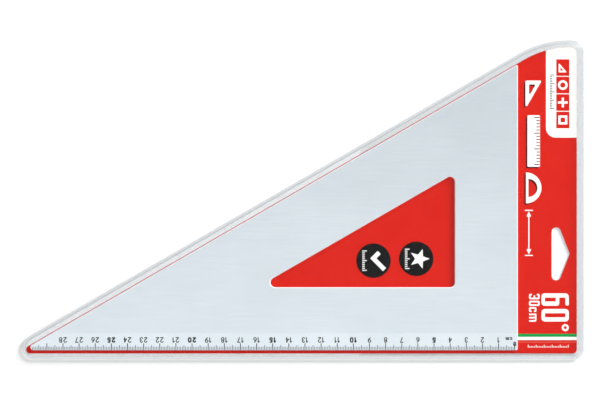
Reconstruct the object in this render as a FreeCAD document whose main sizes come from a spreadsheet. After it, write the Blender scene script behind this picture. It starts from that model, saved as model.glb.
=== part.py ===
"""Aluminium set square with its printed insert card in a clear hang-up sleeve.

The pack lies flat: +X runs from the sharp tip towards the header with the hang slot, +Y across
the pack and +Z out of the front. Every sketch is drawn from the square corner of the set square,
the scale edge on the X axis and the short leg on the Y axis. Each Placement then moves the
origin to the middle of the sleeve, on its underside. All lengths are millimetres.
"""

import FreeCAD, Part
import math
import os

import Sketcher

DRIVING_SIZES = {
    # set square
    "long_leg": 307.0,
    "tip_angle": 30.0,
    "plate_thickness": 2.0,
    "tip_radius": 1.8,
    "corner_radius": 0.8,
    "border_width": 39.0,
    "cutout_radius": 3.0,
    "bevel_width": 10.5,
    "bevel_edge": 0.8,
    "edge_chamfer": 0.5,
    # printed scale on the bevel
    "scale_cm": 30.0,
    "zero_inset": 1.9,
    "tick_pitch": 1.0,
    "cm_tick_width": 0.5,
    "half_tick_width": 0.38,
    "short_tick_width": 0.33,
    "tick_inset": 0.1,
    "cm_tick": 4.3,
    "half_tick": 3.1,
    "short_tick": 2.2,
    "ink_thickness": 0.03,
    "numeral_height": 3.5,
    "numeral_stroke": 0.58,
    "bold_stroke": 0.85,
    "numeral_gap": 0.35,
    "zero_height": 2.8,
    "unit_height": 2.5,
    "unit_stroke": 0.62,
    "unit_shift": 3.6,
    # insert card
    "card_thickness": 0.4,
    "card_edge_margin": 2.1,
    "card_slope_margin": 0.45,
    "header_length": 36.7,
    "header_rise": 10.65,
    "header_curve": 55.0,
    "card_tip_radius": 2.45,
    "card_top_radius": 4.0,
    "card_low_radius": 2.5,
    # sleeve
    "film_thickness": 0.25,
    "film_edge_margin": 3.5,
    "film_slope_margin": 4.75,
    "film_top_margin": 4.1,
    "film_mouth_margin": 4.3,
    "film_tip_radius": 7.3,
    "film_top_radius": 7.5,
    "film_low_radius": 6.0,
    "weld_width": 1.2,
    "weld_level": 1.35,
    "front_skirt_run": 3.6,
    "rear_skirt_run": 0.8,
    # clearances between the layers
    "card_gap": 0.1,
    "plate_gap": 0.15,
    "front_gap": 0.2,
    # hang slot
    "slot_height": 59.7,
    "slot_inset": 21.1,
    "slot_depth": 11.2,
    "slot_length": 32.9,
    "slot_end_radius": 2.85,
    "slot_apex_radius": 0.8,
}

# Lengths worked out from the driving sizes, written as spreadsheet expressions.
SHORT_LEG = "sizes.long_leg * tan(sizes.tip_angle)"
HEADER_TOP = f"({SHORT_LEG} + sizes.header_rise)"
FILM_LOW = "(sizes.card_edge_margin + sizes.film_edge_margin)"
FILM_SLOPE = "(sizes.card_slope_margin + sizes.film_slope_margin)"
FILM_MOUTH = "(sizes.header_length + sizes.film_mouth_margin)"
FILM_TOP = f"({HEADER_TOP} + sizes.film_top_margin)"
FILM_CURVE = "(sizes.header_curve + sizes.film_slope_margin)"
TIP_REACH = (
    f"(sizes.long_leg + {FILM_SLOPE} / sin(sizes.tip_angle) + {FILM_LOW} / tan(sizes.tip_angle)"
    " - sizes.film_tip_radius * (1 / sin(sizes.tip_angle) + 1 / tan(sizes.tip_angle) - 1))"
)
CENTRE_X = f"({TIP_REACH} - {FILM_MOUTH}) / 2"
CENTRE_Y = f"({FILM_LOW} - {FILM_TOP}) / 2"

CARD_LEVEL = "sizes.film_thickness + sizes.card_gap"
PLATE_LEVEL = f"{CARD_LEVEL} + sizes.card_thickness + sizes.plate_gap"
PLATEAU_LEVEL = f"{PLATE_LEVEL} + sizes.plate_thickness + sizes.front_gap"
FRONT_RISE = f"({PLATEAU_LEVEL} - sizes.weld_level)"
REAR_DROP = "(sizes.weld_level - sizes.film_thickness)"
BEVEL_DROP = "(sizes.plate_thickness - sizes.bevel_edge)"
BEVEL_TILT = f"atan({BEVEL_DROP} / sizes.bevel_width)"

MOUTH_OVERRUN = "20"
SAME_PLACE = 1e-6
BOLD_EVERY = 5
LAST_NUMERAL = 28
X_AXIS = FreeCAD.Vector(1, 0, 0)
Z_AXIS = FreeCAD.Vector(0, 0, 1)
ORIGIN_POINT = (-1, 1)
SKETCH_X_AXIS = -1

document = FreeCAD.newDocument("set_square_pack")


def make_size_sheet():
    """Put every driving size in the spreadsheet, one named cell each."""
    sheet = document.addObject("Spreadsheet::Sheet", "sizes")
    for row, (alias, number) in enumerate(DRIVING_SIZES.items(), start=1):
        sheet.set(f"A{row}", alias)
        sheet.set(f"B{row}", str(number))
        sheet.setAlias(f"B{row}", alias)
    document.recompute()
    return sheet


sheet = make_size_sheet()


def value(expression):
    """The number that a spreadsheet expression gives now."""
    result = sheet.evalExpression(expression)
    return float(getattr(result, "Value", result))


def new_body(label, level):
    """A body whose sketches start at the square corner, lifted to its layer of the pack."""
    body = document.addObject("PartDesign::Body", label)
    body.Label = label
    body.setExpression("Placement.Base.x", CENTRE_X)
    body.setExpression("Placement.Base.y", CENTRE_Y)
    body.setExpression("Placement.Base.z", level)
    return body


def origin_feature(body, role):
    return next(item for item in body.Origin.OriginFeatures if item.Role == role)


def new_sketch(body, name, plane="XY_Plane"):
    sketch = body.newObject("Sketcher::SketchObject", name)
    sketch.AttachmentSupport = [(origin_feature(body, plane), "")]
    sketch.MapMode = "FlatFace"
    return sketch


def bind(sketch, name, constraint, expression):
    """Add a named dimension and tie it to the spreadsheet."""
    index = sketch.addConstraint(constraint)
    sketch.renameConstraint(index, name)
    sketch.setExpression(f"Constraints.{name}", expression)


def side_line(side):
    """Outward normal of a side and its distance from the square corner."""
    kind, reach = side
    tilt = math.radians(value("sizes.tip_angle"))
    offset = value(reach)
    normals = {
        "low": FreeCAD.Vector(0, -1, 0),
        "end": FreeCAD.Vector(1, 0, 0),
        "top": FreeCAD.Vector(0, 1, 0),
        "slope": FreeCAD.Vector(-math.sin(tilt), math.cos(tilt), 0),
    }
    if kind == "slope":
        offset += value("sizes.long_leg") * math.sin(tilt)
    return normals[kind], offset


def corner_centre(line, next_line, radius):
    """Centre of the arc of that radius that touches both lines from inside."""
    (first, first_offset), (second, second_offset) = line, next_line
    first_offset -= radius
    second_offset -= radius
    scale = first.x * second.y - first.y * second.x
    return FreeCAD.Vector(
        (first_offset * second.y - second_offset * first.y) / scale,
        (first.x * second_offset - second.x * first_offset) / scale,
        0,
    )


def rounded_loop(sketch, lines, radii):
    """Draw straight sides joined by tangent arcs, anticlockwise, and return both lists of ids."""
    count = len(lines)
    centres = [corner_centre(lines[i], lines[(i + 1) % count], radii[i]) for i in range(count)]
    line_ids = []
    arc_ids = []
    for i, (normal, _) in enumerate(lines):
        before = (i - 1) % count
        start = centres[before] + normal * radii[before]
        end = centres[i] + normal * radii[i]
        line_ids.append(sketch.addGeometry(Part.LineSegment(start, end), False))
        next_normal = lines[(i + 1) % count][0]
        circle = Part.Circle(centres[i], Z_AXIS, radii[i])
        from_angle = math.atan2(normal.y, normal.x)
        to_angle = math.atan2(next_normal.y, next_normal.x)
        if to_angle < from_angle:
            to_angle += 2 * math.pi
        arc_ids.append(sketch.addGeometry(Part.ArcOfCircle(circle, from_angle, to_angle), False))
    for i in range(count):
        sketch.addConstraint(Sketcher.Constraint("Tangent", line_ids[i], 2, arc_ids[i], 1))
        following = line_ids[(i + 1) % count]
        sketch.addConstraint(Sketcher.Constraint("Tangent", arc_ids[i], 2, following, 1))
    return line_ids, arc_ids


def square_outline(sketch, sides, corner_radii):
    """A rounded outline whose sides follow the set square's legs and slope.

    Each side is (kind, reach): how far it lies outside the set square's own side, or, for the end
    and the top, from the square corner. Each radius rounds the corner after its side.
    """
    lines = [side_line(side) for side in sides]
    radii = [value(radius) for radius in corner_radii]
    line_ids, arc_ids = rounded_loop(sketch, lines, radii)
    tag = f"s{line_ids[0]}"
    sharp_tip = sketch.addGeometry(
        Part.Point(FreeCAD.Vector(-value("sizes.long_leg"), 0, 0)), True
    )
    sketch.addConstraint(Sketcher.Constraint("PointOnObject", sharp_tip, 1, SKETCH_X_AXIS))
    tip_reach = Sketcher.Constraint(
        "DistanceX", sharp_tip, 1, *ORIGIN_POINT, value("sizes.long_leg")
    )
    bind(sketch, f"{tag}_long_leg", tip_reach, "sizes.long_leg")
    for (kind, reach), line in zip(sides, line_ids):
        if kind == "slope":
            reference = (sharp_tip, 1)
            turn = math.radians(value("sizes.tip_angle") + 180)
            tilt = Sketcher.Constraint("Angle", line, turn)
            bind(sketch, f"{tag}_tilt", tilt, "sizes.tip_angle + 180")
        else:
            reference = ORIGIN_POINT
            direction = "Vertical" if kind == "end" else "Horizontal"
            sketch.addConstraint(Sketcher.Constraint(direction, line))
        distance = abs(value(reach))
        if distance == 0:
            sketch.addConstraint(Sketcher.Constraint("PointOnObject", *reference, line))
        else:
            reach_constraint = Sketcher.Constraint("Distance", *reference, line, distance)
            bind(sketch, f"{tag}_{kind}", reach_constraint, f"abs({reach})")
    for number, (arc, radius) in enumerate(zip(arc_ids, corner_radii)):
        rounding = Sketcher.Constraint("Radius", arc, value(radius))
        bind(sketch, f"{tag}_radius_{number}", rounding, radius)


def slot_outline(sketch):
    """Roof-shaped hang slot: a straight bar with round ends and a peak towards the header's end."""
    end_radius = value("sizes.slot_end_radius")
    apex_radius = value("sizes.slot_apex_radius")
    bar_x = value("sizes.slot_inset")
    middle = value("sizes.slot_height")
    half = value("sizes.slot_length / 2 - sizes.slot_end_radius")
    apex_x = bar_x + value("sizes.slot_depth") - apex_radius
    run = FreeCAD.Vector(apex_x - bar_x - end_radius, half, 0)
    lean = math.acos((end_radius - apex_radius) / run.Length) - math.atan2(run.y, run.x)
    peak = FreeCAD.Vector(apex_x, middle, 0)
    lower = FreeCAD.Vector(math.cos(lean), -math.sin(lean), 0)
    upper = FreeCAD.Vector(math.cos(lean), math.sin(lean), 0)
    lines = [
        (FreeCAD.Vector(-1, 0, 0), -bar_x),
        (lower, lower.dot(peak) + apex_radius),
        (upper, upper.dot(peak) + apex_radius),
    ]
    line_ids, arc_ids = rounded_loop(sketch, lines, [end_radius, apex_radius, end_radius])
    low_end, apex, high_end = arc_ids
    sketch.addConstraint(Sketcher.Constraint("Vertical", line_ids[0]))
    inset = Sketcher.Constraint("DistanceX", *ORIGIN_POINT, line_ids[0], 1, bar_x)
    bind(sketch, "slot_inset", inset, "sizes.slot_inset")
    centre_heights = [
        (low_end, "low", "sizes.slot_height - sizes.slot_length / 2 + sizes.slot_end_radius"),
        (apex, "middle", "sizes.slot_height"),
        (high_end, "high", "sizes.slot_height + sizes.slot_length / 2 - sizes.slot_end_radius"),
    ]
    for arc, name, expression in centre_heights:
        level = Sketcher.Constraint("DistanceY", *ORIGIN_POINT, arc, 3, value(expression))
        bind(sketch, f"slot_{name}", level, expression)
    apex_place = "sizes.slot_inset + sizes.slot_depth - sizes.slot_apex_radius"
    reach = Sketcher.Constraint("DistanceX", *ORIGIN_POINT, apex, 3, value(apex_place))
    bind(sketch, "slot_apex", reach, apex_place)
    for arc, name in ((low_end, "end"), (apex, "apex"), (high_end, "end")):
        expression = f"sizes.slot_{name}_radius"
        rounding = Sketcher.Constraint("Radius", arc, value(expression))
        bind(sketch, f"slot_radius_{arc}", rounding, expression)


def pad(body, sketch, name, length, taper=None, upwards=True):
    feature = body.newObject("PartDesign::Pad", name)
    feature.Profile = sketch
    feature.Reversed = not upwards
    feature.setExpression("Length", length)
    if taper:
        feature.setExpression("TaperAngle", taper)
    document.recompute()
    return feature


def pocket(body, sketch, name, length=None, taper=None, upwards=True):
    """Cut a sketch out of the body, to a depth or right through, and prove that it cut."""
    solid_before = body.Tip.Shape.Volume
    feature = body.newObject("PartDesign::Pocket", name)
    feature.Profile = sketch
    feature.Reversed = upwards
    if length:
        feature.setExpression("Length", length)
    else:
        feature.Type = "ThroughAll"
        feature.Midplane = True
    if taper:
        feature.setExpression("TaperAngle", taper)
    document.recompute()
    if feature.Shape.Volume >= solid_before:
        raise RuntimeError(f"{name} cut nothing")
    return feature


def cut_hang_slot(body):
    sketch = new_sketch(body, f"{body.Label}_slot_sketch")
    slot_outline(sketch)
    pocket(body, sketch, f"{body.Label}_slot")


def sleeve_outline(sketch):
    sides = [("low", FILM_LOW), ("end", FILM_MOUTH), ("top", FILM_TOP), ("slope", FILM_SLOPE)]
    radii = ["sizes.film_low_radius", "sizes.film_top_radius", FILM_CURVE, "sizes.film_tip_radius"]
    square_outline(sketch, sides, radii)


def pocket_outline(sketch, spread):
    """The sleeve's outline inside the weld, grown by spread and run out past the open mouth."""
    inset = f"(sizes.weld_width - {spread})"
    sides = [
        ("low", f"({FILM_LOW} - {inset})"),
        ("end", f"({FILM_MOUTH} + {MOUTH_OVERRUN})"),
        ("top", f"({FILM_TOP} - {inset})"),
        ("slope", f"({FILM_SLOPE} - {inset})"),
    ]
    radii = [
        f"(sizes.film_low_radius - {inset})",
        f"(sizes.film_top_radius - {inset})",
        f"({FILM_CURVE} - {inset})",
        f"(sizes.film_tip_radius - {inset})",
    ]
    square_outline(sketch, sides, radii)


def make_film(label, depth, run, upwards):
    """One sheet of the sleeve: a rim in the weld plane, and a skirt out to its flat middle.

    The middle lies at that depth from the weld plane, above it or below, and runs flat out to the
    open mouth at the header's end.
    """
    body = new_body(label, "sizes.weld_level")
    taper = f"-atan({run} / {depth})"
    wall_shift = f"(sizes.film_thickness * sqrt({run} ^ 2 + {depth} ^ 2) / {depth})"
    rim_sketch = new_sketch(body, f"{label}_rim_sketch")
    sleeve_outline(rim_sketch)
    pad(body, rim_sketch, f"{label}_rim", "sizes.film_thickness", upwards=upwards)
    outer_sketch = new_sketch(body, f"{label}_outer_sketch")
    pocket_outline(outer_sketch, wall_shift)
    outer_depth = f"{depth} + sizes.film_thickness"
    pad(body, outer_sketch, f"{label}_outer", outer_depth, taper, upwards)
    inner_sketch = new_sketch(body, f"{label}_inner_sketch")
    pocket_outline(inner_sketch, "0")
    pocket(body, inner_sketch, f"{label}_inner", depth, taper, upwards)
    trim_at_mouth(body)
    cut_hang_slot(body)
    return body


def trim_at_mouth(body):
    """Cut away whatever runs out past the sleeve's own outline at the mouth."""
    sketch = new_sketch(body, f"{body.Label}_trim_sketch")
    sleeve_outline(sketch)
    reach = value(TIP_REACH) + value(FILM_TOP)
    corners = [FreeCAD.Vector(x, y, 0) for x, y in ((-1, -1), (1, -1), (1, 1), (-1, 1))]
    frame_ids = [
        sketch.addGeometry(Part.LineSegment(corners[i] * reach, corners[i - 3] * reach), False)
        for i in range(4)
    ]
    for i, line in enumerate(frame_ids):
        joint = Sketcher.Constraint("Coincident", line, 2, frame_ids[i - 3], 1)
        sketch.addConstraint(joint)
        direction = "Horizontal" if i % 2 == 0 else "Vertical"
        sketch.addConstraint(Sketcher.Constraint(direction, line))
        distance = Sketcher.Constraint("Distance", *ORIGIN_POINT, line, reach)
        bind(sketch, f"frame_{i}", distance, f"{TIP_REACH} + {FILM_TOP}")
    pocket(body, sketch, f"{body.Label}_trim")


def make_insert_card():
    """Printed board behind the set square, with the header that carries the hang slot."""
    body = new_body("insert_card", CARD_LEVEL)
    sketch = new_sketch(body, "insert_card_sketch")
    sides = [
        ("low", "sizes.card_edge_margin"),
        ("end", "sizes.header_length"),
        ("top", HEADER_TOP),
        ("slope", "sizes.card_slope_margin"),
    ]
    radii = [
        "sizes.card_low_radius",
        "sizes.card_top_radius",
        "sizes.header_curve",
        "sizes.card_tip_radius",
    ]
    square_outline(sketch, sides, radii)
    pad(body, sketch, "insert_card_board", "sizes.card_thickness")
    cut_hang_slot(body)
    return body


def make_set_square():
    """Aluminium plate with a triangular cut-out, bevelled along the scale edge."""
    body = new_body("set_square", PLATE_LEVEL)
    sketch = new_sketch(body, "set_square_sketch")
    corner = "sizes.corner_radius"
    square_outline(
        sketch,
        [("low", "0"), ("end", "0"), ("slope", "0")],
        [corner, corner, "sizes.tip_radius"],
    )
    pad(body, sketch, "plate", "sizes.plate_thickness")
    cutout_sketch = new_sketch(body, "cutout_sketch")
    inward = "(-sizes.border_width)"
    square_outline(
        cutout_sketch,
        [("low", inward), ("end", inward), ("slope", inward)],
        ["sizes.cutout_radius"] * 3,
    )
    pocket(body, cutout_sketch, "cutout")
    bevel_scale_edge(body)
    break_top_edges(body)
    return body


def break_top_edges(body):
    """Small chamfer round the top face and the cut-out, except where the bevel begins."""
    top = value("sizes.plate_thickness")
    bevel_line = value("sizes.bevel_width")
    bevelled = body.Tip
    edge_names = []
    for number, edge in enumerate(bevelled.Shape.Edges, start=1):
        box = edge.BoundBox
        if box.ZMin > top - SAME_PLACE and box.YMax > bevel_line + SAME_PLACE:
            edge_names.append(f"Edge{number}")
    chamfer = body.newObject("PartDesign::Chamfer", "top_chamfer")
    chamfer.Base = (bevelled, edge_names)
    chamfer.setExpression("Size", "sizes.edge_chamfer")
    document.recompute()


def bevel_scale_edge(body):
    """Slope the top face down to the thin graduated edge, along the whole long leg."""
    sketch = new_sketch(body, "bevel_sketch", "YZ_Plane")
    width = value("sizes.bevel_width")
    edge = value("sizes.bevel_edge")
    top = value("sizes.plate_thickness")
    corners = [
        FreeCAD.Vector(0, edge, 0),
        FreeCAD.Vector(width, top, 0),
        FreeCAD.Vector(width, top + 1, 0),
        FreeCAD.Vector(-1, top + 1, 0),
        FreeCAD.Vector(-1, edge, 0),
    ]
    count = len(corners)
    lines = [
        sketch.addGeometry(Part.LineSegment(corners[i], corners[(i + 1) % count]), False)
        for i in range(count)
    ]
    for i in range(count):
        joint = Sketcher.Constraint("Coincident", lines[i], 2, lines[(i + 1) % count], 1)
        sketch.addConstraint(joint)
    slope, riser, lid, back, floor = lines
    for line in (riser, back):
        sketch.addConstraint(Sketcher.Constraint("Vertical", line))
    for line in (lid, floor):
        sketch.addConstraint(Sketcher.Constraint("Horizontal", line))
    sketch.addConstraint(Sketcher.Constraint("PointOnObject", slope, 1, -2))
    bind(
        sketch,
        "edge_left",
        Sketcher.Constraint("DistanceY", *ORIGIN_POINT, slope, 1, edge),
        "sizes.bevel_edge",
    )
    bind(
        sketch,
        "bevel_width",
        Sketcher.Constraint("DistanceX", *ORIGIN_POINT, slope, 2, width),
        "sizes.bevel_width",
    )
    bind(
        sketch,
        "bevel_top",
        Sketcher.Constraint("DistanceY", *ORIGIN_POINT, slope, 2, top),
        "sizes.plate_thickness",
    )
    sketch.addConstraint(Sketcher.Constraint("DistanceY", riser, 1, riser, 2, 1))
    sketch.addConstraint(Sketcher.Constraint("DistanceX", floor, 1, *ORIGIN_POINT, 1))
    pocket(body, sketch, "bevel")


def lay_on_bevel(placed):
    """Lift a print made on the XY plane to the plate's edge and tilt it onto the bevel."""
    placed.setExpression("Placement.Base.z", f"{PLATE_LEVEL} + sizes.bevel_edge")
    placed.setExpression("Placement.Rotation.Angle", BEVEL_TILT)


def make_scale_lines():
    """Graduation lines: one centimetre of ten lines, repeated along the scale edge."""
    body = new_body("scale_lines", PLATE_LEVEL)
    body.Placement = FreeCAD.Placement(FreeCAD.Vector(), FreeCAD.Rotation(X_AXIS, 1))
    body.setExpression("Placement.Base.x", f"{CENTRE_X} - sizes.zero_inset")
    lay_on_bevel(body)
    sketch = new_sketch(body, "scale_lines_sketch")
    for place in range(10):
        size = {0: "cm_tick", 5: "half_tick"}.get(place, "short_tick")
        draw_tick(sketch, place, f"sizes.{size}", f"sizes.{size}_width")
    one_centimetre = pad(body, sketch, "one_centimetre", "sizes.ink_thickness")
    pattern = body.newObject("PartDesign::LinearPattern", "all_centimetres")
    pattern.Originals = [one_centimetre]
    pattern.Direction = (origin_feature(body, "X_Axis"), [""])
    pattern.Reversed = True
    pattern.setExpression("Length", "10 * sizes.tick_pitch * (sizes.scale_cm - 1)")
    pattern.setExpression("Occurrences", "sizes.scale_cm")
    body.Tip = pattern
    return body


def draw_tick(sketch, place, length, width):
    """One graduation line: a thin rectangle that starts just inside the edge."""
    half = value(width) / 2
    low = value("sizes.tick_inset")
    high = value(length)
    middle = -place * value("sizes.tick_pitch")
    corners = [
        FreeCAD.Vector(middle - half, low, 0),
        FreeCAD.Vector(middle + half, low, 0),
        FreeCAD.Vector(middle + half, high, 0),
        FreeCAD.Vector(middle - half, high, 0),
    ]
    lines = [
        sketch.addGeometry(Part.LineSegment(corners[i], corners[(i + 1) % 4]), False)
        for i in range(4)
    ]
    for i in range(4):
        joint = Sketcher.Constraint("Coincident", lines[i], 2, lines[(i + 1) % 4], 1)
        sketch.addConstraint(joint)
        direction = "Horizontal" if i % 2 == 0 else "Vertical"
        sketch.addConstraint(Sketcher.Constraint(direction, lines[i]))
    left, right = (lines[3], 1), (lines[1], 1)
    offset = Sketcher.Constraint("DistanceX", *left, *ORIGIN_POINT, half - middle)
    bind(sketch, f"place_{place}", offset, f"{place} * sizes.tick_pitch + {width} / 2")
    across = Sketcher.Constraint("DistanceX", *left, *right, 2 * half)
    bind(sketch, f"width_{place}", across, width)
    inset = Sketcher.Constraint("DistanceY", *ORIGIN_POINT, *right, low)
    bind(sketch, f"inset_{place}", inset, "sizes.tick_inset")
    reach = Sketcher.Constraint("DistanceY", *ORIGIN_POINT, *left, high)
    bind(sketch, f"reach_{place}", reach, length)


def loop_face(centre_x, low, high, radius):
    """Disc, or a disc stretched upwards, whose end centres are at those two heights."""
    centres = [FreeCAD.Vector(centre_x, level, 0) for level in (low, high)]
    if low == high:
        return Part.Face(Part.Wire(Part.Circle(centres[0], Z_AXIS, radius).toShape()))
    side = FreeCAD.Vector(radius, 0, 0)
    rise = FreeCAD.Vector(0, radius, 0)
    bottom, top = centres
    edges = [
        Part.Arc(bottom - side, bottom - rise, bottom + side),
        Part.LineSegment(bottom + side, top + side),
        Part.Arc(top + side, top + rise, top - side),
        Part.LineSegment(top - side, bottom - side),
    ]
    return Part.Face(Part.Wire([edge.toShape() for edge in edges]))


def loop_stroke(centre_x, low, high, radius):
    """A closed stroke: a function that gives its face for half a pen's width."""

    def face(half):
        outer = loop_face(centre_x, low, high, radius + half)
        return outer.cut(loop_face(centre_x, low, high, radius - half))

    return face


def straight_stroke(start, end):
    """One straight stroke with round ends."""
    start, end = FreeCAD.Vector(*start, 0), FreeCAD.Vector(*end, 0)

    def face(half):
        along = (end - start).normalize() * half
        across = FreeCAD.Vector(-along.y, along.x, 0)
        edges = [
            Part.LineSegment(start - across, end - across),
            Part.Arc(end - across, end + along, end + across),
            Part.LineSegment(end + across, start + across),
            Part.Arc(start + across, start - along, start - across),
        ]
        return Part.Face(Part.Wire([edge.toShape() for edge in edges]))

    return face


def bent_stroke(*points):
    """A stroke through three or more points that turn."""
    path = Part.makePolygon([FreeCAD.Vector(x, y, 0) for x, y in points])
    return lambda half: path.makeOffset2D(half, 0, True, False, False)


def arc_stroke(centre_x, centre_y, radius, start, end):
    """A stroke along an arc, from a start angle anticlockwise to an end angle in degrees."""
    circle = Part.Circle(FreeCAD.Vector(centre_x, centre_y, 0), Z_AXIS, radius)
    path = Part.Wire(Part.Arc(circle, math.radians(start), math.radians(end)).toShape())
    return lambda half: path.makeOffset2D(half, 0, True, False, False)


def glyph_strokes(height):
    """The strokes of each numeral, and of a c and an m, whose pen rises to that height."""
    low = 0.27 * height
    high = 0.23 * height
    width = 2 * low
    top = height - low
    upper = height - high
    hook = 0.785 * height
    small = 0.3 * height
    hump = 0.22 * height
    letter_top = 0.6 * height
    return {
        "0": [loop_stroke(low, low, top, low)],
        "1": [bent_stroke((0.25 * width, 0.8 * height), (0.7 * width, height), (0.7 * width, 0))],
        "2": [
            arc_stroke(low, top, low, -35, 165),
            bent_stroke((low * 1.82, top - low * 0.57), (0, 0), (width, 0)),
        ],
        "3": [arc_stroke(low, upper, high, -90, 160), arc_stroke(low, low, low, -160, 90)],
        "4": [
            straight_stroke((0.76 * width, 0), (0.76 * width, height)),
            bent_stroke((0.76 * width, height), (0, small), (width, small)),
        ],
        "5": [
            bent_stroke((0.9 * width, height), (0.16 * width, height), (0.1 * width, 0.48 * height)),
            arc_stroke(low, low, low, -160, 130),
        ],
        "6": [loop_stroke(low, low, low, low), arc_stroke(hook, low, hook, 117, 180)],
        "7": [bent_stroke((0, height), (width, height), (0.34 * width, 0))],
        "8": [loop_stroke(low, low, low, low), loop_stroke(low, upper, upper, high)],
        "9": [loop_stroke(low, top, top, low), arc_stroke(width - hook, top, hook, -63, 0)],
        "c": [arc_stroke(small, small, small, 50, 310)],
        "m": [
            straight_stroke((0, 0), (0, letter_top)),
            arc_stroke(hump, letter_top - hump, hump, 0, 180),
            straight_stroke((2 * hump, letter_top - hump), (2 * hump, 0)),
            arc_stroke(3 * hump, letter_top - hump, hump, 0, 180),
            straight_stroke((4 * hump, letter_top - hump), (4 * hump, 0)),
        ],
    }


def glyph_solid(character, height, stroke, thickness):
    """One character drawn with a round pen of that stroke width, standing on the X axis."""
    strokes = glyph_strokes(height - stroke)[character]
    layers = [face(stroke / 2).extrude(Z_AXIS * thickness) for face in strokes]
    solid = layers[0].multiFuse(layers[1:]).removeSplitter() if layers[1:] else layers[0]
    solid.translate(FreeCAD.Vector(-solid.BoundBox.XMin, stroke / 2, 0))
    return solid


def text_solids(text, height, stroke, thickness):
    """A row of characters that stands on the X axis with its middle at the origin."""
    spacing = 0.16 * height
    glyphs = []
    pen = 0
    for character in text:
        solid = glyph_solid(character, height, stroke, thickness)
        solid.translate(FreeCAD.Vector(pen, 0, 0))
        pen = solid.BoundBox.XMax + spacing
        glyphs.append(solid)
    middle = (pen - spacing) / 2
    for solid in glyphs:
        solid.translate(FreeCAD.Vector(-middle, 0, 0))
    return glyphs


def make_scale_numerals():
    """Centimetre numerals above the long lines, read from beyond the scale edge."""
    height = value("sizes.numeral_height")
    thickness = value("sizes.ink_thickness")
    centimetre = 10 * value("sizes.tick_pitch")
    row_top = value("sizes.cm_tick + sizes.numeral_gap")
    zero_top = value("sizes.short_tick + sizes.numeral_gap")
    fine_stroke = value("sizes.numeral_stroke")
    zero_height = value("sizes.zero_height")
    prints = [("0", 0, zero_top, zero_height, fine_stroke)]
    for number in range(1, LAST_NUMERAL + 1):
        bold = number % BOLD_EVERY == 0
        stroke = value("sizes.bold_stroke") if bold else fine_stroke
        prints.append((str(number), -number * centimetre, row_top, height, stroke))
    unit_top = zero_top + zero_height + value("sizes.numeral_gap")
    unit_height, unit_stroke = value("sizes.unit_height"), value("sizes.unit_stroke")
    prints.append(("cm", -value("sizes.unit_shift"), unit_top, unit_height, unit_stroke))
    glyphs = []
    for text, x, top, size, stroke in prints:
        for solid in text_solids(text, size, stroke, thickness):
            solid.rotate(FreeCAD.Vector(), Z_AXIS, 180)
            solid.translate(FreeCAD.Vector(x, top + size, 0))
            glyphs.append(solid)
    feature = document.addObject("Part::Feature", "scale_numerals")
    feature.Label = "scale_numerals"
    feature.Shape = Part.makeCompound(glyphs)
    feature.Placement = FreeCAD.Placement(
        FreeCAD.Vector(
            value(f"{CENTRE_X} - sizes.zero_inset"),
            value(CENTRE_Y),
            value(f"{PLATE_LEVEL} + sizes.bevel_edge"),
        ),
        FreeCAD.Rotation(X_AXIS, value(BEVEL_TILT)),
    )
    return feature


def check_document():
    """Stop if any object failed or any sketch still has freedom left."""
    document.recompute()
    for item in document.Objects:
        if {"Invalid", "Error"} & set(item.State):
            raise RuntimeError(f"{item.Name} is {item.State}")
        if item.TypeId == "Sketcher::SketchObject" and not item.FullyConstrained:
            raise RuntimeError(f"{item.Name} isn't fully constrained")


def export(sub_parts):
    """Write each sub-part, in its place, to its own STEP file."""
    os.makedirs("parts", exist_ok=True)
    for part in sub_parts:
        if part.Shape.isNull() or not part.Shape.isValid():
            raise RuntimeError(f"{part.Label} has no valid shape")
    for part in sub_parts:
        part.Shape.exportStep(f"parts/{part.Label}.step")


sub_parts = [
    make_film("rear_film", REAR_DROP, "sizes.rear_skirt_run", upwards=False),
    make_film("front_film", FRONT_RISE, "sizes.front_skirt_run", upwards=True),
    make_insert_card(),
    make_set_square(),
    make_scale_lines(),
    make_scale_numerals(),
]
check_document()
export(sub_parts)
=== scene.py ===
"""Looks for the set square in its hang pack: satin aluminium, a printed red card, clear films."""

import math

import bpy
import numpy as np
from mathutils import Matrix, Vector
from mathutils.geometry import delaunay_2d_cdt


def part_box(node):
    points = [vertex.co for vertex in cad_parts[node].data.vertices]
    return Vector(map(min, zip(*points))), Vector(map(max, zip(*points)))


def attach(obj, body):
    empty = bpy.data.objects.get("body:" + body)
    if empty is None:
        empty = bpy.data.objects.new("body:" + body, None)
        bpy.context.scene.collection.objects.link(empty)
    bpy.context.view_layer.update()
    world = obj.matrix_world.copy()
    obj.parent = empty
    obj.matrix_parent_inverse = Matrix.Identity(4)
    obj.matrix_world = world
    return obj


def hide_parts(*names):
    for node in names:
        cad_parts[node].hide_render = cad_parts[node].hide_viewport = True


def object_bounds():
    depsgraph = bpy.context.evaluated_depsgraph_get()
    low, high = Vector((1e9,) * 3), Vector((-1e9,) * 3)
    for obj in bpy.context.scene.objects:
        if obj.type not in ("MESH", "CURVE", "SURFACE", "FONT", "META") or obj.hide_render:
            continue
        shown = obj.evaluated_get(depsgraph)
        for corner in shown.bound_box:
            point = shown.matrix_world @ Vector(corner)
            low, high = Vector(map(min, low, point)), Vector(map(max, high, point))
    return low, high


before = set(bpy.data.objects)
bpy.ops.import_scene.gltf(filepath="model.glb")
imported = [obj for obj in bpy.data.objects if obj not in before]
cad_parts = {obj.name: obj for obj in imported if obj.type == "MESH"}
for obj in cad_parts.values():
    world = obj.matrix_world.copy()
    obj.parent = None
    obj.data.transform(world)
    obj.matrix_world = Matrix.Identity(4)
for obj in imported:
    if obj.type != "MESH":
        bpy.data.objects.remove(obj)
cad_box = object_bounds()

MM = 0.001

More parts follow.
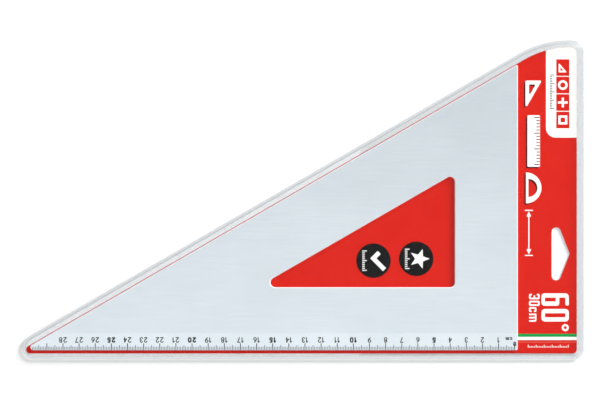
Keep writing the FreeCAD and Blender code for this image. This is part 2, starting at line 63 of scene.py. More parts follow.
# Places on the pack are given in millimetres from the set square's square corner.
square_low, square_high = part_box("set_square")
card_low, card_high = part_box("insert_card")
sleeve_low, sleeve_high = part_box("front_film")
rear_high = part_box("rear_film")[1]
CORNER = Vector((square_high.x, square_low.y, 0)) / MM

LONG_LEG = 307.0
TIP_ANGLE = 30.0
FILM = 0.25
PRINT = 0.03

# The card: how far its lower side, end and top lie from the square corner and its slope from the
# set square's slope, then the radii of its corners.
CARD_TOP = card_high.z / MM
CARD_LOW = CORNER.y - card_low.y / MM
CARD_END = card_high.x / MM - CORNER.x
CARD_UP = card_high.y / MM - CORNER.y
CARD_SLOPE = 0.45
CARD_LOW_CORNER = 2.5
CARD_TOP_CORNER = 4.0
CARD_TIP = 2.45
HEADER_CURVE = 55.0

# The sleeve, in the same way.
SLEEVE_LOW = CORNER.y - sleeve_low.y / MM
SLEEVE_END = sleeve_high.x / MM - CORNER.x
SLEEVE_UP = sleeve_high.y / MM - CORNER.y
SLEEVE_SLOPE = CARD_SLOPE + 4.75
SLEEVE_LOW_CORNER = 6.0
SLEEVE_TOP_CORNER = 7.5
SLEEVE_CURVE = HEADER_CURVE + 4.0
SLEEVE_TIP = 7.3

# The films' section: a flat weld, then a run that rises or drops to a level sheet. Beyond the calm
# margin the front sheet is slack and dips by up to SLACK.
WELD_WIDTH = 1.2
WELD_LEVEL = rear_high.z / MM
WELD_GAP = 0.01
FRONT_LEVEL = sleeve_high.z / MM - FILM
FRONT_RUN = 3.6
REAR_RUN = 0.8
SLACK = 0.12
CALM_MARGIN = 6.0
CALM_RUN = 14.0

# The films' meshes: spacing along the outline, of the rows in the skirt and of the grid.
OUTLINE_STEP = 1.5
SKIRT_STEP = 0.4
SKIRT_END = 5.4
GRID_STEP = 4.0

# The hang slot: its straight side, its peak, its middle and half the length between its arcs.
SLOT_SIDE = 21.1
SLOT_PEAK = 31.5
SLOT_MIDDLE = 59.7
SLOT_HALF = 13.6
SLOT_END_RADIUS = 2.85
SLOT_PEAK_RADIUS = 0.8

# Degrees between points on the prints' rounded corners, and the triangulation's tolerances.
CORNER_ARC_STEP = 15.0
MERGE_DISTANCE = 1e-5
LEAST_AREA = 1e-7


# ---------------------------------------------------------------- outlines in the plane

def direction(degrees):
    """Unit vector at that angle from X."""
    return np.array([math.cos(math.radians(degrees)), math.sin(math.radians(degrees))])


SLOPE_NORMAL = direction(90 + TIP_ANGLE)
SLOPE_OFFSET = LONG_LEG * math.sin(math.radians(TIP_ANGLE))


def arc_points(centre, radius, start, end, step=6.0):
    """Points on an arc, from a start angle to an end angle in degrees."""
    count = max(2, int(abs(end - start) / step) + 1)
    angles = np.linspace(start, end, count)
    return [centre + radius * direction(a) for a in angles]


def corner_centre(line, following, radius):
    """Centre of the arc of that radius that touches both lines, each (normal angle, offset)."""
    normals = np.array([direction(line[0]), direction(following[0])])
    offsets = np.array([line[1] - radius, following[1] - radius])
    return np.linalg.solve(normals, offsets)


def rounded_loop(lines, radii, step=6.0):
    """Anticlockwise outline of straight sides joined by arcs. Each radius follows its side."""
    points = []
    for i, (line, radius) in enumerate(zip(lines, radii)):
        following = lines[(i + 1) % len(lines)]
        turn = (following[0] - line[0]) % 360
        centre = corner_centre(line, following, radius)
        points += arc_points(centre, radius, line[0], line[0] + turn, step)
    return np.array(points)


def round_corners(corners, radii):
    """Polygon with each corner rounded by its own radius, 0 for a sharp one."""
    points = []
    count = len(corners)
    corners = [np.array(corner, float) for corner in corners]
    for i, radius in enumerate(radii):
        corner = corners[i]
        if radius == 0:
            points.append(corner)
            continue
        back = corners[i - 1] - corner
        ahead = corners[(i + 1) % count] - corner
        back /= np.linalg.norm(back)
        ahead /= np.linalg.norm(ahead)
        half_turn = math.acos(np.clip(back @ ahead, -1, 1)) / 2
        reach = radius / math.tan(half_turn)
        bisector = (back + ahead) / np.linalg.norm(back + ahead)
        centre = corner + bisector * radius / math.sin(half_turn)
        start, end = corner + back * reach - centre, corner + ahead * reach - centre
        from_angle = math.degrees(math.atan2(start[1], start[0]))
        turn = math.degrees(math.atan2(end[1], end[0])) - from_angle
        turn = (turn + 180) % 360 - 180
        points += arc_points(centre, radius, from_angle, from_angle + turn, CORNER_ARC_STEP)
    return np.array(points)


def box_loop(x0, y0, x1, y1, radius=0.0):
    return round_corners([(x0, y0), (x1, y0), (x1, y1), (x0, y1)], [radius] * 4)


def disc_loop(x, y, radius, step=6.0):
    return np.array(arc_points(np.array([x, y]), radius, 0, 360, step)[:-1])


def resample(loop, spacing):
    """Evenly spaced points along a closed loop."""
    closed = np.vstack([loop, loop[:1]])
    lengths = np.linalg.norm(np.diff(closed, axis=0), axis=1)
    travelled = np.concatenate([[0], np.cumsum(lengths)])
    stops = np.linspace(0, travelled[-1], max(8, int(travelled[-1] / spacing)), endpoint=False)
    return np.column_stack([np.interp(stops, travelled, closed[:, i]) for i in range(2)])


def inside(points, loop):
    """Which points lie inside a closed loop."""
    x, y = points[:, 0], points[:, 1]
    result = np.zeros(len(points), bool)
    for (x0, y0), (x1, y1) in zip(loop, np.roll(loop, -1, axis=0)):
        if y0 != y1:
            crosses = (y0 > y) != (y1 > y)
            result ^= crosses & (x < (x1 - x0) * (y - y0) / (y1 - y0) + x0)
    return result


def card_loop(shrink=0.0):
    """The card's outline, or a line that runs that far inside it."""
    lines = [
        (-90, CARD_LOW - shrink),
        (0, CARD_END - shrink),
        (90, CARD_UP - shrink),
        (90 + TIP_ANGLE, SLOPE_OFFSET + CARD_SLOPE - shrink),
    ]
    radii = [CARD_LOW_CORNER, CARD_TOP_CORNER, HEADER_CURVE, CARD_TIP]
    return rounded_loop(lines, [radius - shrink for radius in radii], 3)


def sleeve_loop():
    """The sleeve's outline."""
    lines = [
        (-90, SLEEVE_LOW),
        (0, SLEEVE_END),
        (90, SLEEVE_UP),
        (90 + TIP_ANGLE, SLOPE_OFFSET + SLEEVE_SLOPE),
    ]
    return rounded_loop(lines, [SLEEVE_LOW_CORNER, SLEEVE_TOP_CORNER, SLEEVE_CURVE, SLEEVE_TIP], 3)


def slot_loop(grow=0.0):
    """Roof-shaped hang slot: a bar with round ends and a peak towards the header's end."""
    run = np.array([SLOT_PEAK - SLOT_SIDE - SLOT_END_RADIUS, SLOT_HALF])
    length = np.linalg.norm(run)
    lean = math.degrees(math.acos((SLOT_END_RADIUS - SLOT_PEAK_RADIUS) / length))
    lean -= math.degrees(math.atan2(run[1], run[0]))
    peak = np.array([SLOT_PEAK, SLOT_MIDDLE])
    lines = [
        (180, -SLOT_SIDE + grow),
        (-lean, direction(-lean) @ peak + SLOT_PEAK_RADIUS + grow),
        (lean, direction(lean) @ peak + SLOT_PEAK_RADIUS + grow),
    ]
    radii = [SLOT_END_RADIUS, SLOT_PEAK_RADIUS, SLOT_END_RADIUS]
    return rounded_loop(lines, [radius + grow for radius in radii])


# ---------------------------------------------------------------- meshes

def row_place(x, y, z):
    """A point in millimetres from the square corner, as a point of the row frame in metres."""
    return ((x + CORNER.x) * MM, (y + CORNER.y) * MM, z * MM)


def triangulate(loops, keep, extra):
    """Corner points and anticlockwise triangles of the region that keep accepts."""
    points = [tuple(p) for loop in loops for p in loop] + [tuple(p) for p in extra]
    edges = []
    start = 0
    for loop in loops:
        count = len(loop)
        edges += [(start + i, start + (i + 1) % count) for i in range(count)]
        start += count
    vectors = [Vector(p) for p in points]
    result = delaunay_2d_cdt(vectors, edges, [], 0, MERGE_DISTANCE, False)
    places = np.array([tuple(v) for v in result[0]])
    triangles = np.array([f for f in result[2] if len(f) == 3])
    middles = places[triangles].mean(axis=1)
    triangles = triangles[keep(middles)]
    a, b, c = (places[triangles[:, i]] for i in range(3))
    turn = (b[:, 0] - a[:, 0]) * (c[:, 1] - a[:, 1]) - (b[:, 1] - a[:, 1]) * (c[:, 0] - a[:, 0])
    solid = np.abs(turn) > LEAST_AREA
    triangles = triangles[solid]
    turn = turn[solid]
    triangles[turn < 0] = triangles[turn < 0][:, ::-1]
    used = np.unique(triangles)
    renumber = np.full(len(places), -1)
    renumber[used] = np.arange(len(used))
    return places[used], renumber[triangles]


def slab(name, loops, keep, bottom, top, extra=()):
    """Closed solid over a region of the plane, between two surfaces given as functions."""
    places, triangles = triangulate(loops, keep, extra)
    count = len(places)
    low = [row_place(x, y, z) for (x, y), z in zip(places, bottom(places))]
    high = [row_place(x, y, z) for (x, y), z in zip(places, top(places))]
    faces = [tuple(int(i) for i in t[::-1]) for t in triangles]
    faces += [tuple(int(i) + count for i in t) for t in triangles]
    directed = {(int(t[i]), int(t[(i + 1) % 3])) for t in triangles for i in range(3)}
    rim = [(a, b) for a, b in sorted(directed) if (b, a) not in directed]
    faces += [(a, b, b + count, a + count) for a, b in rim]
    mesh = bpy.data.meshes.new(name)
    mesh.from_pydata(low + high, [], faces)
    mesh.validate()
    mesh.shade_smooth()
    sharp = {frozenset(edge) for a, b in rim for edge in ((a, b), (a + count, b + count))}
    for edge in mesh.edges:
        edge.use_edge_sharp = frozenset(edge.vertices) in sharp
    piece = bpy.data.objects.new(name, mesh)
    bpy.context.scene.collection.objects.link(piece)
    return piece


def level(height):
    """The same height everywhere, as a surface for slab."""
    return lambda places: np.full(len(places), height)


def print_on_card(name, outlines, material, holes=(), layer=0):
    """A patch of ink on the card's face. Later layers lie on top of earlier ones."""
    outlines = [np.array(loop) for loop in outlines]
    holes = [np.array(loop) for loop in holes]

    def keep(middles):
        shown = np.zeros(len(middles), bool)
        for loop in outlines:
            shown |= inside(middles, loop)
        for loop in holes:
            shown &= ~inside(middles, loop)
        return shown

    bottom = CARD_TOP + layer * PRINT
    piece = slab(name, outlines + holes, keep, level(bottom), level(bottom + PRINT))
    piece.data.materials.append(material)
    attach(piece, "card")
    return piece


# ---------------------------------------------------------------- materials

class Finish:
    """A node material with one Principled shader and the textures that drive it."""

    def __init__(self, name):
        self.material = bpy.data.materials.new(name)
        self.material.use_nodes = True
        self.tree = self.material.node_tree
        self.shader = self.tree.nodes["Principled BSDF"]
        self.places = self.tree.nodes.new("ShaderNodeTexCoord")

    def link(self, output, target):
        self.tree.links.new(output, target)

    def set(self, **sockets):
        """Constants straight on the shader's sockets, an underscore for each space."""
        for name, number in sockets.items():
            self.shader.inputs[name.replace("_", " ")].default_value = number
        return self

    def noise(self, scale, stretch=(1, 1, 1), detail=3.0, roughness=0.5):
        """Noise in object space. Below 1, stretch draws it out along that axis."""
        mapping = self.tree.nodes.new("ShaderNodeMapping")
        mapping.inputs["Scale"].default_value = stretch
        self.link(self.places.outputs["Object"], mapping.inputs["Vector"])
        texture = self.tree.nodes.new("ShaderNodeTexNoise")
        texture.inputs["Scale"].default_value = scale
        texture.inputs["Detail"].default_value = detail
        texture.inputs["Roughness"].default_value = roughness
        self.link(mapping.outputs["Vector"], texture.inputs["Vector"])
        return texture.outputs["Fac"]

    def spread(self, source, low, high, source_low=0.3, source_high=0.7):
        """Map a factor to a range of plain numbers."""
        node = self.tree.nodes.new("ShaderNodeMapRange")
        limits = {"From Min": source_low, "From Max": source_high, "To Min": low, "To Max": high}
        for name, number in limits.items():
            node.inputs[name].default_value = number
        self.link(source, node.inputs["Value"])
        return node.outputs["Result"]

    def blend(self, factor, first, second):
        """Mix two colours, each a constant or another node's output."""
        node = self.tree.nodes.new("ShaderNodeMix")
        node.data_type = "RGBA"
        sockets = [s for s in node.inputs if s.type == "RGBA"]
        for socket, colour in zip(sockets, (first, second)):
            if isinstance(colour, bpy.types.NodeSocket):
                self.link(colour, socket)
            else:
                socket.default_value = (*colour, 1)
        self.link(factor, node.inputs["Factor"])
        return next(s for s in node.outputs if s.type == "RGBA")

    def bump(self, source, distance, strength, before=None):
        """Relief from a factor, its height in metres, over any relief that comes before it."""
        node = self.tree.nodes.new("ShaderNodeBump")
        node.inputs["Distance"].default_value = distance
        node.inputs["Strength"].default_value = strength
        self.link(source, node.inputs["Height"])
        if before:
            self.link(before, node.inputs["Normal"])
        return node.outputs["Normal"]

    def drive(self, name, output):
        self.link(output, self.shader.inputs[name])
        return self

    def facing_up(self, tilted=0.6, straight=0.9):
        """1 on faces that look straight out of the front of the pack, 0 on edges and backs."""
        split = self.tree.nodes.new("ShaderNodeSeparateXYZ")
        self.link(self.places.outputs["Normal"], split.inputs["Vector"])
        return self.spread(split.outputs["Z"], 0, 1, tilted, straight)


def linear(red, green, blue):
    """Linear colour of an 8-bit display colour."""
    parts = [value / 255 for value in (red, green, blue)]
    return tuple(p / 12.92 if p <= 0.04045 else ((p + 0.055) / 1.055) ** 2.4 for p in parts)


def make_aluminium():
    """Satin anodised sheet with a fine lengthwise grain. Its cut edges and back are bare metal,
    and their near-white, mostly diffuse colour is also a painted highlight that makes the edges
    read as bright lines.
    """
    finish = Finish("satin_aluminium")
    grain = finish.noise(900, stretch=(0.06, 1, 1), detail=4, roughness=0.65)
    clouds = finish.noise(14, stretch=(1, 1.6, 1))
    speckle = finish.noise(2600, detail=2)
    tone = finish.blend(
        finish.spread(clouds, 0, 1), linear(214, 223, 228), linear(221, 229, 234)
    )
    streaked = finish.blend(finish.spread(grain, 0, 0.22), tone, linear(190, 200, 207))
    # Faces that don't look straight up (chamfers, sides, back) get a near-white colour and little
    # metal: partly paler bare metal, partly a painted highlight along the edges.
    face = finish.facing_up(0.85, 0.97)
    finish.drive("Base Color", finish.blend(face, linear(250, 251, 252), streaked))
    finish.drive("Metallic", finish.spread(face, 0.25, 1.0, 0, 1))
    finish.drive("Roughness", finish.spread(speckle, 0.36, 0.5))
    fine = finish.bump(speckle, 0.00001, 0.25)
    finish.drive("Normal", finish.bump(grain, 0.00002, 0.3, fine))
    return finish.material


def make_scale_ink():
    """Dark print, slightly uneven where it was screened onto the metal."""
    finish = Finish("scale_ink").set(Roughness=0.5, Specular_IOR_Level=0.2)
    wear = finish.noise(1500)
    finish.drive("Base Color", finish.blend(wear, (0.004, 0.005, 0.006), (0.014, 0.015, 0.017)))
    finish.drive("Normal", finish.bump(wear, 0.00001, 0.3))
    return finish.material


def make_card():
    """Coated board: red print on the face, pale pulp on the cut edges and the back."""
    finish = Finish("red_card").set(Roughness=0.45, Specular_IOR_Level=0.1)
    mottle = finish.noise(60, detail=4)
    fibre = finish.noise(1800, stretch=(1, 0.35, 1), detail=4)
    red = finish.blend(
        finish.spread(mottle, 0, 1), linear(208, 20, 4), linear(212, 26, 8)
    )
    pulp = finish.blend(fibre, linear(222, 219, 212), linear(230, 227, 220))
    finish.drive("Base Color", finish.blend(finish.facing_up(), pulp, red))
    finish.drive("Normal", finish.bump(fibre, 0.00002, 0.15))
    return finish.material


def make_print(name, colour, lighter):
    """Offset ink on the coated card: its colour varies a little with the screen."""
    finish = Finish(name).set(Roughness=0.45, Specular_IOR_Level=0.1)
    screen = finish.noise(1400, detail=2)
    finish.drive("Base Color", finish.blend(screen, linear(*colour), linear(*lighter)))
    finish.drive("Normal", finish.bump(screen, 0.00001, 0.1))
    return finish.material


def make_film(name, alpha, colour, ripple, gloss):
    """Clear vinyl: faint tint, glossy, with slow waves and fine haze in its surface."""
    finish = Finish(name).set(Alpha=alpha, IOR=1.9, Specular_IOR_Level=gloss)
    waves = finish.noise(28, stretch=(1, 1.5, 1))
    haze = finish.noise(700, detail=2)
    tint = finish.blend(haze, linear(*colour), linear(*(min(255, c + 6) for c in colour)))
    finish.drive("Base Color", tint)
    finish.drive("Roughness", finish.spread(haze, 0.08, 0.2))
    finish.drive("Normal", finish.bump(waves, ripple, 0.5))
    return finish.material


def make_floor_material():
    """Matt white paper, nearly even."""
    finish = Finish("studio_floor").set(Roughness=0.9)
    grain = finish.noise(30, detail=2)
    finish.drive("Base Color", finish.blend(grain, (0.9, 0.9, 0.9), (0.92, 0.92, 0.92)))
    return finish.material


# ---------------------------------------------------------------- the sleeve's two films

def smooth_step(share):
    """0 to 1 with a level start and end."""
    share = np.clip(share, 0, 1)
    return share * share * (3 - 2 * share)


def weld_distance(places):
    """How far each point lies inside the sleeve's welded sides. The mouth isn't welded."""
    slope = SLOPE_OFFSET + SLEEVE_SLOPE
    distance = np.minimum(places[:, 1] + SLEEVE_LOW, SLEEVE_UP - places[:, 1])
    distance = np.minimum(distance, slope - places @ SLOPE_NORMAL)
    low_line, top_line = (-90, SLEEVE_LOW), (90, SLEEVE_UP)
    slope_line = (90 + TIP_ANGLE, slope)
    corners = [
        (corner_centre(slope_line, low_line, SLEEVE_TIP), SLEEVE_TIP, SLOPE_NORMAL, (0, -1)),
        (corner_centre(top_line, slope_line, SLEEVE_CURVE), SLEEVE_CURVE, (0, 1), SLOPE_NORMAL),
    ]
    for centre, radius, first, second in corners:
        out = places - centre
        first_along = np.array([-first[1], first[0]])
        second_along = np.array([second[1], -second[0]])
        in_corner = (out @ first_along >= 0) & (out @ second_along >= 0)
        in_corner &= (out @ np.array(first) + out @ np.array(second)) > 0
        rounded = radius - np.linalg.norm(out, axis=1)
        distance = np.where(in_corner, np.minimum(distance, rounded), distance)
    return np.maximum(distance, 0)


def film_waves(places):
    """Slow dips of the slack film, none near the weld, from two waves that cross."""
    x, y = places[:, 0], places[:, 1]
    along = np.sin(x / 17 + 1.3 * np.sin(y / 29))
    across = np.sin(y / 21 - x / 61 + 0.7)
    calm = smooth_step((weld_distance(places) - CALM_MARGIN) / CALM_RUN)
    return -SLACK * calm * (0.5 + 0.5 * along * across)


def front_inner(places):
    """Height of the front film's inner face."""
    weld = WELD_LEVEL + WELD_GAP
    rise = smooth_step((weld_distance(places) - WELD_WIDTH) / FRONT_RUN)
    return weld + (FRONT_LEVEL - weld) * rise + film_waves(places)


def rear_inner(places):
    """Height of the rear film's inner face."""
    weld = WELD_LEVEL - WELD_GAP
    drop = smooth_step((weld_distance(places) - WELD_WIDTH) / REAR_RUN)
    return weld - (weld - FILM) * drop


def weld_rings():
    """Rows of points that follow the weld inwards, each point square to the outline."""
    outline = resample(sleeve_loop(), OUTLINE_STEP)
    along = np.roll(outline, -1, axis=0) - np.roll(outline, 1, axis=0)
    along /= np.linalg.norm(along, axis=1)[:, None]
    inwards = np.column_stack([-along[:, 1], along[:, 0]])
    rings = [outline + inwards * inset for inset in np.arange(SKIRT_STEP, SKIRT_END, SKIRT_STEP)]
    points = np.concatenate(rings)
    return points[points[:, 0] < SLEEVE_END - SKIRT_STEP]


def film_points():
    """Points inside the sleeve: rows that follow the weld, then an even grid."""
    grid = []
    rows = np.arange(-SLEEVE_LOW, SLEEVE_UP, GRID_STEP)
    for number, y in enumerate(rows):
        shift = GRID_STEP / 2 * (number % 2)
        grid += [(x + shift, y) for x in np.arange(-LONG_LEG, SLEEVE_END, GRID_STEP)]
    grid = np.array(grid)
    skirt_gap, mouth_gap, slot_gap, ring, least = 0.5, 1.0, 2.0, 1.0, 0.4
    clear = weld_distance(grid) > SKIRT_END + skirt_gap
    clear &= grid[:, 0] < SLEEVE_END - mouth_gap
    clear &= ~inside(grid, slot_loop(slot_gap))
    candidates = np.concatenate([weld_rings(), grid[clear], slot_loop(ring)])
    return candidates[inside(candidates, sleeve_loop()) & ~inside(candidates, slot_loop(least))]


def film_zones(centres):
    """Which of the film materials each face gets: 0 clear, 1 skirt, 2 weld, 3 mouth, whose
    material is the same film tinted darker as painted shade.
    """
    slot_lip = 1.0
    over_card = inside(centres, card_loop()) | inside(centres, slot_loop(slot_lip))
    from_weld = weld_distance(centres)
    return np.select(
        [over_card, from_weld < WELD_WIDTH, from_weld < WELD_WIDTH + FRONT_RUN], [0, 2, 1], 3
    )


def make_film_piece(name, node, inner, thickness, films):
    """One film of the sleeve. A negative thickness puts its outer face below its inner one."""
    outline = resample(sleeve_loop(), OUTLINE_STEP)
    slot = slot_loop()

    def keep(middles):
        return inside(middles, outline) & ~inside(middles, slot)

    def outer(places):
        return inner(places) + thickness

    bottom, top = (inner, outer) if thickness > 0 else (outer, inner)
    piece = slab(name, [outline, slot], keep, bottom, top, film_points())
    for film in films:
        piece.data.materials.append(film)
    centres = np.array([face.center for face in piece.data.polygons])[:, :2] / MM
    centres -= np.array([CORNER.x, CORNER.y])
    for face, zone in zip(piece.data.polygons, film_zones(centres)):
        face.material_index = int(zone)
    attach(piece, "sleeve")
    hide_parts(node)
    return piece


# ---------------------------------------------------------------- the card's print

def header_loop(shape, start, base):
    """Place a shape drawn upright so that it reads down the header, its top towards the end."""
    shape = np.array(shape, float)
    return np.column_stack([base + shape[:, 1], start - shape[:, 0]])


def glyph_six(width, height, side, bar):
    """Block figure 6: its outline with the open upper bowl, and its counter. Here and in the
    figures below, the corner radii follow the outline's points."""
    shoulder = 0.65 * height
    outline = [
        (0, 0), (width, 0), (width, shoulder), (side, shoulder), (side, height - bar),
        (width - 0.2, height - bar), (width - 0.2, height), (0, height),
    ]
    outline = round_corners(outline, [1.9, 1.9, 1.5, 0, 0, 0.7, 0.7, 2.3])
    counter = box_loop(side, bar, width - side, shoulder - bar, 0.15)
    return outline, [counter]


def glyph_zero(width, height, side, bar, radius):
    """Block figure 0: a rounded box and its counter."""
    counter = box_loop(side, bar, width - side, height - bar, 0.12 * side)
    return box_loop(0, 0, width, height, radius), [counter]


def glyph_three(width, height, side, bar):
    """Block figure 3, open on its left side."""
    low, high = 0.265 * height, 0.735 * height
    waist = (height - bar) / 2
    outline = [
        (0, 0), (width, 0), (width, height), (0, height), (0, high), (side, high),
        (side, height - bar), (width - side, height - bar), (width - side, waist + bar),
        (side, waist + bar), (side, waist), (width - side, waist), (width - side, bar),
        (side, bar), (side, low), (0, low),
    ]
    return round_corners(outline, [0.9, 0.9, 0.9, 0.9, 0.25, 0.25] + [0] * 8 + [0.25, 0.25]), []


def glyph_c(width, height, side, bar):
    """Block letter c, open on its right side."""
    low, high = 0.34 * height, 0.66 * height
    outline = [
        (0, 0), (width, 0), (width, low), (width - side, low), (width - side, bar), (side, bar),
        (side, height - bar), (width - side, height - bar), (width - side, high),
        (width, high), (width, height), (0, height),
    ]
    return round_corners(outline, [0.8, 0.8, 0.2, 0.2, 0, 0, 0, 0, 0.2, 0.2, 0.8, 0.8]), []


def glyph_m(width, height, side, bar):
    """Block letter m: three legs under one bar."""
    gap = (width - 3 * side) / 2
    inner = height - bar
    outline = [(0, 0), (side, 0), (side, inner), (side + gap, inner), (side + gap, 0)]
    outline += [(2 * side + gap, 0), (2 * side + gap, inner), (width - side, inner)]
    outline += [(width - side, 0), (width, 0), (width, height), (0, height)]
    return round_corners(outline, [0.2, 0.2, 0, 0, 0.2, 0.2, 0, 0, 0.2, 0.2, 1.0, 0.2]), []


def tick_loops(start, end, count, base, short, tall, width):
    """Evenly spaced scale marks along Y from start to end, every fifth one longer."""
    loops = []
    for number, y in enumerate(np.linspace(start, end, count)):
        reach = tall if number % 5 == 0 else short
        loops.append(box_loop(base, y - width / 2, base + reach, y + width / 2))
    return loops


def print_figures(white):
    """The angle and the length in block figures, with the degree sign as a ring."""
    # Each figure with the place where it starts along the header and its base line.
    figures = [
        (glyph_six(7.7, 17.0, 2.65, 2.15), 35.2, 14.8),
        (glyph_zero(7.8, 17.0, 2.65, 2.15, 2.2), 25.5, 14.8),
        (glyph_three(3.4, 6.6, 1.0, 1.0), 34.9, 7.1),
        (glyph_zero(3.2, 6.6, 1.0, 1.0, 0.85), 30.6, 7.1),
        (glyph_c(3.0, 4.6, 0.95, 0.95), 26.6, 7.1),
        (glyph_m(5.0, 4.6, 0.95, 0.95), 22.6, 7.1),
    ]
    outlines = []
    holes = []
    for (outline, counters), start, base in figures:
        outlines.append(header_loop(outline, start, base))
        holes += [header_loop(counter, start, base) for counter in counters]
    degree_sign = (29.6, 13.9)
    outlines.append(disc_loop(*degree_sign, 2.2))
    holes.append(disc_loop(*degree_sign, 0.95))
    print_on_card("print_figures", outlines, white, holes)


def print_stripes(green, white, pale_red):
    """Three level stripes that cross the header near its lower end, over a fine scale."""
    start, end = -8.0, CARD_END
    print_on_card("print_green_stripe", [box_loop(start, 8.2, end, 10.1)], green)
    print_on_card("print_white_stripe", [box_loop(start, 6.2, end, 8.2)], white)
    print_on_card("print_thin_stripe", [box_loop(start, 4.7, end, 5.15)], pale_red)
    marks = tick_loops(6.6, 31.4, 26, base=1.5, short=1.0, tall=1.8, width=0.4)
    marks = [loop[:, ::-1] for loop in marks]
    print_on_card("print_low_scale", marks, white)


def clip_loop(loop, normal, offset):
    """The part of a convex loop where normal . point is at least the offset."""
    kept = []
    for point, following in zip(loop, np.roll(loop, -1, axis=0)):
        here, there = point @ normal - offset, following @ normal - offset
        if here >= 0:
            kept.append(point)
        if here * there < 0:
            kept.append(point + (following - point) * here / (here - there))
    return np.array(kept)


def clipped_panel(left, low, radius):
    """The top of the card's face, right of one line and above another, one corner rounded."""
    panel = clip_loop(card_loop(0.02), np.array([1.0, 0.0]), left)
    panel = clip_loop(panel, np.array([0.0, 1.0]), low)
    corner = np.array([left, low])
    radii = [radius if np.linalg.norm(point - corner) < 0.01 else 0 for point in panel]
    return round_corners(panel, radii)


def panel_pictures(x, centres):
    """A small picture for each tile: a set square, a ring, a cross and a framed square."""
    triangle, ring, cross, frame_square = [np.array([x, y]) for y in centres]
    outlines = [
        triangle + round_corners([(-2.6, 3.0), (-2.6, -3.0), (2.6, -3.0)], [0.3] * 3),
        disc_loop(*ring, 3.0),
        cross + box_loop(-3.0, -0.7, 3.0, 0.7),
        cross + box_loop(-0.7, -3.0, 0.7, 3.0),
        frame_square + box_loop(-2.8, -2.8, 2.8, 2.8, 0.3),
    ]
    holes = [
        triangle + np.array([(-1.5, 0.2), (-1.5, -1.9), (0.4, -1.9)]),
        disc_loop(*ring, 1.6),
        frame_square + box_loop(-1.4, -1.4, 1.4, 1.4),
    ]
    return outlines, holes


def print_panel(white, red, grey):
    """White panel in the header's top corner with four picture tiles and a fine scale."""
    print_on_card("print_white_panel", [clipped_panel(17.6, 131.8, 6.0)], white)
    pitch, height = 10.83, 10.3
    left, right = 24.0, 32.1
    lows = [137.6 + pitch * number for number in range(4)]
    tiles = [box_loop(left, low, right, low + height) for low in lows]
    print_on_card("print_panel_tiles", tiles, red, layer=1)
    middles = [low + height / 2 for low in reversed(lows)]
    outlines, holes = panel_pictures((left + right) / 2, middles)
    print_on_card("print_panel_pictures", outlines, white, holes, layer=2)
    marks = tick_loops(149.8, 170.6, 21, base=20.0, short=1.5, tall=2.7, width=0.45)
    print_on_card("print_panel_scale", marks, grey, layer=1)


def icon_shapes():
    """White drafting pictures in the header: a set square, a ruler and a protractor."""
    triangle = round_corners([(0, 0), (17.5, 0), (0, 10.1)], [0.6] * 3)
    triangle_hole = round_corners([(2.4, 2.2), (9.6, 2.2), (2.4, 6.4)], [0.5] * 3)
    ruler_top = 9.0
    ruler = box_loop(21.5, 1.2, 53.5, ruler_top, 0.6)
    first_mark, mark_pitch, half_width = 22.9, 1.95, 0.3
    marks = []
    for number in range(16):
        reach = 3.6 if number % 5 == 0 else 2.2
        x = first_mark + number * mark_pitch
        marks.append(box_loop(x - half_width, ruler_top - reach, x + half_width, ruler_top - 0.1))
    centre = np.array([66.6, 0.3])
    protractor = arc_points(centre, 9.6, 0, 180, 5)
    protractor_hole = arc_points(centre + (0, 1.5), 5.6, 0, 180, 5)
    return [triangle, ruler, protractor], [triangle_hole, *marks, protractor_hole]


def print_icons(white, shadow):
    """The row of pictures, over its own printed shadow."""
    outlines, holes = icon_shapes()
    start, base = 167.2, 4.9

    def placed(loops, shift):
        return [header_loop(np.array(loop) + shift, start, base) for loop in loops]

    drop = np.array([0.9, -1.0])
    print_on_card("print_icon_shadows", placed(outlines, drop), shadow, placed(holes, drop))
    print_on_card(
        "print_icons", placed(outlines, (0, 0)), white, placed(holes, (0, 0)), layer=1
    )


def print_dimension_line(white):
    """A plain dimension line with an arrowhead at each end."""
    length, height, line = 28.6, 5.0, 0.65
    tip, head, barb, shaft = 0.9, 4.2, 1.5, 0.35
    half = [(tip, 0), (head, barb), (head, shaft), (length - head, shaft), (length - head, barb)]
    arrow = half + [(length - x, -y) for x, y in half]
    arrow = np.array(arrow) + (0, height / 2)
    ends = [box_loop(0, 0, line, height), box_loop(length - line, 0, length, height)]
    start, base = 87.0, 4.5
    loops = [header_loop(loop, start, base) for loop in [arrow, *ends]]
    print_on_card("print_dimension_line", loops, white)


def star_loop(x, y, outer, inner):
    """A five-pointed star whose first point looks towards the header's end."""
    corners = []
    for number in range(10):
        radius = outer if number % 2 == 0 else inner
        corners.append(np.array([x, y]) + radius * direction(36 * number))
    return np.array(corners)


def print_badges(black, white):
    """Two round badges in the cut-out: a tick in one, a star in the other, a scale in both."""
    centres = [np.array([-89.4, 55.5]), np.array([-62.9, 56.6])]
    radius = 10.7
    print_on_card("print_badges", [disc_loop(*c, radius, 4) for c in centres], black)
    check = [(-6.0, 2.6), (-4.1, 4.5), (-1.4, 1.8), (4.6, 7.8), (6.5, 5.9), (-1.4, -2.0)]
    check = header_loop(check, centres[0][1], centres[0][0])
    star = star_loop(centres[1][0] + 2.0, centres[1][1], 6.4, 2.7)
    marks = []
    for x, y in centres:
        marks += tick_loops(y - 6, y + 6, 11, base=x - 7, short=1.6, tall=2.9, width=0.55)
    print_on_card("print_badge_icons", [check, star, *marks], white, layer=1)


# ---------------------------------------------------------------- camera and studio

def make_camera():
    """Long lens straight above the pack, the tip to the left and the header to the right."""
    view_width = 0.3724
    lens, sensor = 150.0, 36.0
    aim_x, aim_y = -0.0019, -0.0001
    camera = bpy.data.cameras.new("camera")
    camera.lens = lens
    camera.sensor_width = sensor
    camera.clip_start = 0.05
    camera.clip_end = 20
    holder = bpy.data.objects.new("camera", camera)
    middle = (cad_box[0] + cad_box[1]) / 2
    holder.location = (middle.x + aim_x, middle.y + aim_y, view_width * lens / sensor)
    bpy.context.scene.collection.objects.link(holder)
    bpy.context.scene.camera = holder


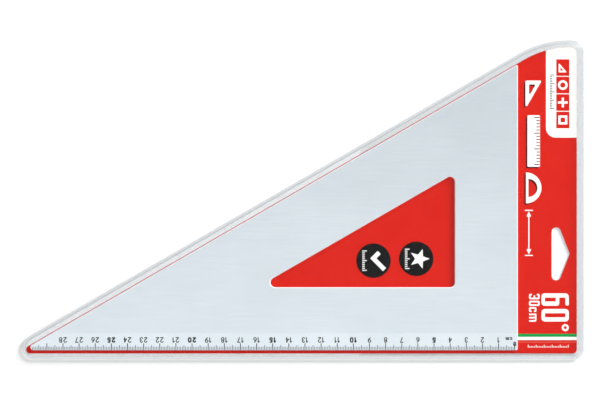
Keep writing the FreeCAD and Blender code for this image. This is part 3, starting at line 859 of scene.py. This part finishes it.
def make_light(name, place, size, power, colour, mirrored=True):
    """A square soft box that looks at the middle of the pack. One that isn't mirrored makes no
    glare on metal, like a lamp behind a polariser."""
    lamp = bpy.data.lights.new(name, "AREA")
    lamp.size = size
    lamp.energy = power
    lamp.color = colour
    holder = bpy.data.objects.new(name, lamp)
    holder.location = place
    holder.visible_glossy = mirrored
    holder.rotation_euler = (-Vector(place)).to_track_quat("-Z", "Y").to_euler()
    bpy.context.scene.collection.objects.link(holder)


def make_studio():
    """Pale floor, a soft key light from the upper right and a wide overhead panel."""
    bpy.ops.mesh.primitive_grid_add(x_subdivisions=8, y_subdivisions=8, size=8)
    floor = bpy.context.object
    floor.name = "studio_floor"
    floor.data.materials.append(make_floor_material())
    warm, cool = (1.0, 0.995, 0.98), (0.995, 0.997, 1.0)
    make_light("key", (2.5, 2.3, 1.45), size=1.3, power=176, colour=warm, mirrored=False)
    make_light("overhead", (0.04, -0.76, 2.2), size=2.6, power=26.3, colour=cool)
    bpy.context.scene.view_settings.view_transform = "Standard"


def make_surroundings():
    """Studio surroundings: a bright band round the horizon under a darker ceiling."""
    world = bpy.data.worlds.new("studio")
    world.use_nodes = True
    tree = world.node_tree
    places = tree.nodes.new("ShaderNodeTexCoord")
    split = tree.nodes.new("ShaderNodeSeparateXYZ")
    tree.links.new(places.outputs["Generated"], split.inputs["Vector"])
    fade = tree.nodes.new("ShaderNodeMapRange")
    limits = {"From Min": 0.18, "From Max": 0.4, "To Min": 1.15, "To Max": 0.3}
    for name, number in limits.items():
        fade.inputs[name].default_value = number
    tree.links.new(split.outputs["Z"], fade.inputs["Value"])
    background = tree.nodes["Background"]
    background.inputs["Color"].default_value = (0.98, 0.99, 1.0, 1)
    tree.links.new(fade.outputs["Result"], background.inputs["Strength"])
    bpy.context.scene.world = world


# ---------------------------------------------------------------- the pack

def dress(node, material):
    """Give a CAD node its finish."""
    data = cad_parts[node].data
    data.materials.clear()
    data.materials.append(material)


make_camera()
make_surroundings()
make_studio()

aluminium = make_aluminium()
ink = make_scale_ink()
white = make_print("white_print", (250, 249, 246), (255, 254, 252))
black = make_print("black_print", (2, 3, 3), (6, 7, 7))
green = make_print("green_print", (0, 150, 66), (4, 158, 74))
red_ink = make_print("red_print", (208, 20, 4), (212, 26, 8))
pale_red = make_print("pale_red_print", (224, 92, 74), (230, 100, 82))
shadow_ink = make_print("shadow_print", (72, 8, 5), (84, 10, 6))
grey_ink = make_print("grey_print", (50, 52, 54), (60, 62, 64))

dress("set_square", aluminium)
dress("scale_lines", ink)
dress("scale_numerals", ink)
dress("insert_card", make_card())

print_figures(white)
print_stripes(green, white, pale_red)
print_panel(white, red_ink, grey_ink)
print_icons(white, shadow_ink)
print_dimension_line(white)
print_badges(black, white)

films = [
    make_film("clear_film", 0.013, (108, 112, 114), 0.0003, 0.8),
    make_film("skirt_film", 0.2, (222, 226, 229), 0.00001, 0.3),
    make_film("weld_band", 0.7, (216, 220, 223), 0.00001, 0.3),
    # The mouth strip is the same clear film as the skirt, tinted darker as painted shade so its
    # flat, well-lit strip matches the shaded slopes of the welded sides.
    make_film("mouth_film_painted_shade", 0.22, (200, 206, 211), 0.00005, 0.3),
]
make_film_piece("front_film_sheet", "front_film", front_inner, FILM, films)
make_film_piece("rear_film_sheet", "rear_film", rear_inner, -FILM, films)
